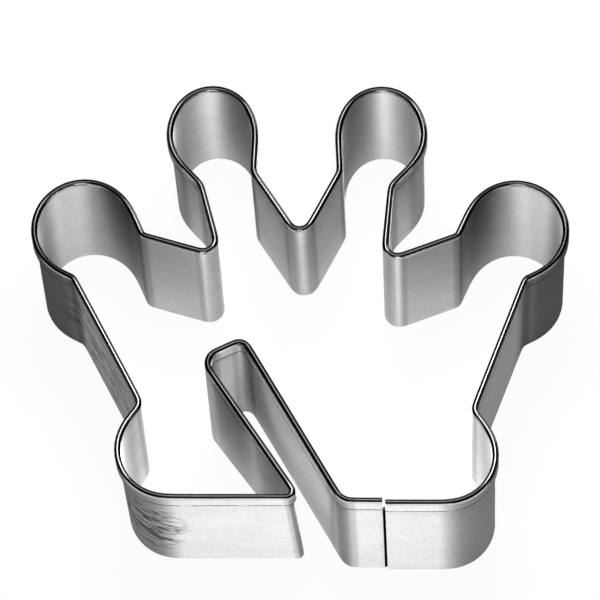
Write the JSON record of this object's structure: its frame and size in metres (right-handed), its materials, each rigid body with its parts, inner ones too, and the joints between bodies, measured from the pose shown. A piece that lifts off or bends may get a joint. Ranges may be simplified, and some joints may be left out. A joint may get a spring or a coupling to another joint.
{
  "type": "cookie cutter",
  "caption": "Crown-shaped cookie cutter bent from hemmed stainless strip, with a slanted slot that lets its biscuits hang on the rim of a cup.",
  "frame": {"origin": "on the plane of the cutting edge, under the middle of the rectangle that the cutter fills seen from above", "axes": "+Z from the cutting edge up to the hemmed grip rim, +X across the crown to the right seen from above, +Y from the base of the crown to its tips"},
  "size_m": [0.0581, 0.0484, 0.0225],
  "materials": {
    "stainless_strip": "bright rolled, semi-gloss, fine grain along the strip",
    "weld_steel": "dull, slightly heat tinted"
  },
  "bodies": {
    "root": {"cutter_band": "stainless_strip", "spot_weld_lower": "weld_steel", "spot_weld_middle": "weld_steel", "spot_weld_upper": "weld_steel"}
  },
  "joints": []
}
